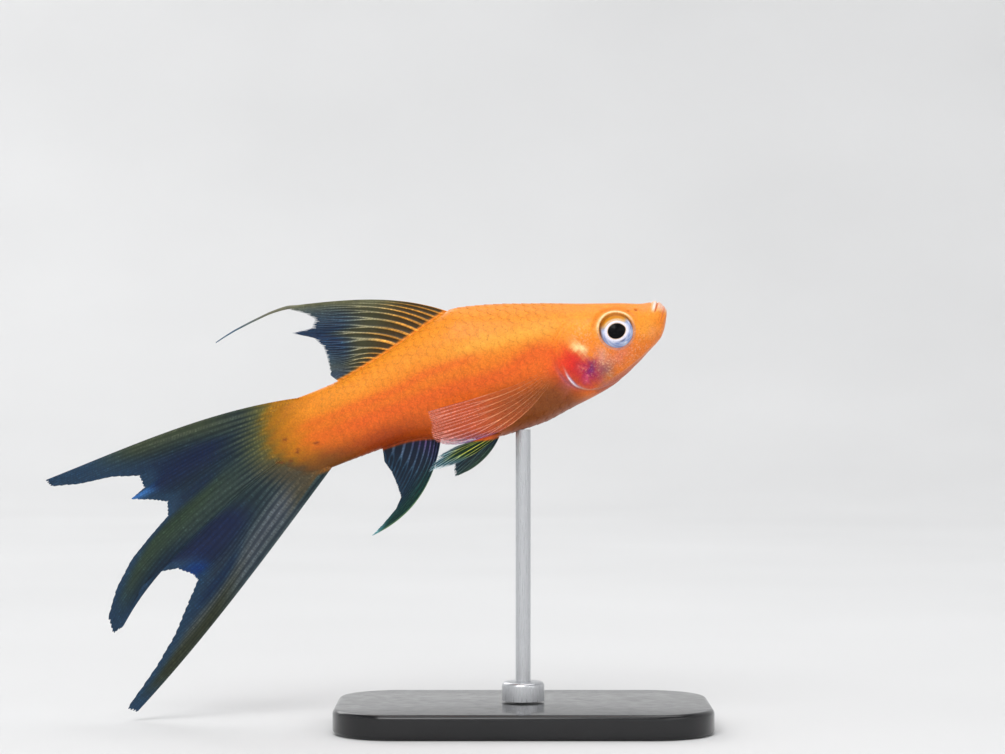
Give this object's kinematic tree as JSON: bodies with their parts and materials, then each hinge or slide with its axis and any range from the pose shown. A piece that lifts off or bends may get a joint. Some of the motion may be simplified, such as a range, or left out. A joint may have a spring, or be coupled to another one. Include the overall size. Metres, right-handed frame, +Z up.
{
  "type": "lyretail swordtail fish model on a display stand",
  "caption": "Life-size orange lyretail swordtail, gliding nose up with its fins spread, held by a rod on a flat display base.",
  "frame": {"origin": "centre of the stand base's underside", "axes": "+Z up, +X towards the fish's head, the fish's right side faces -Y"},
  "size_m": [0.1079, 0.036, 0.0682],
  "materials": {
    "skin": "moist orange scaled skin, satin gloss",
    "fin": "thin translucent membrane with paler rays, satin",
    "eye": "wet gloss, black pupil in a silver iris",
    "base": "black acrylic, soft gloss",
    "rod": "brushed"
  },
  "bodies": {
    "root": {"head": "skin", "trunk": "skin", "tail_stem": "skin", "eye_right": "eye", "eye_left": "eye", "dorsal_fin": "fin", "dorsal_filament": "fin", "caudal_upper": "fin", "caudal_middle": "fin", "caudal_lower": "fin", "anal_fin": "fin", "pectoral_right": "fin", "pectoral_left": "fin", "pelvic_right": "fin", "pelvic_left": "fin", "stand_base": "base", "stand_collar": "rod", "stand_rod": "rod"}
  },
  "joints": []
}
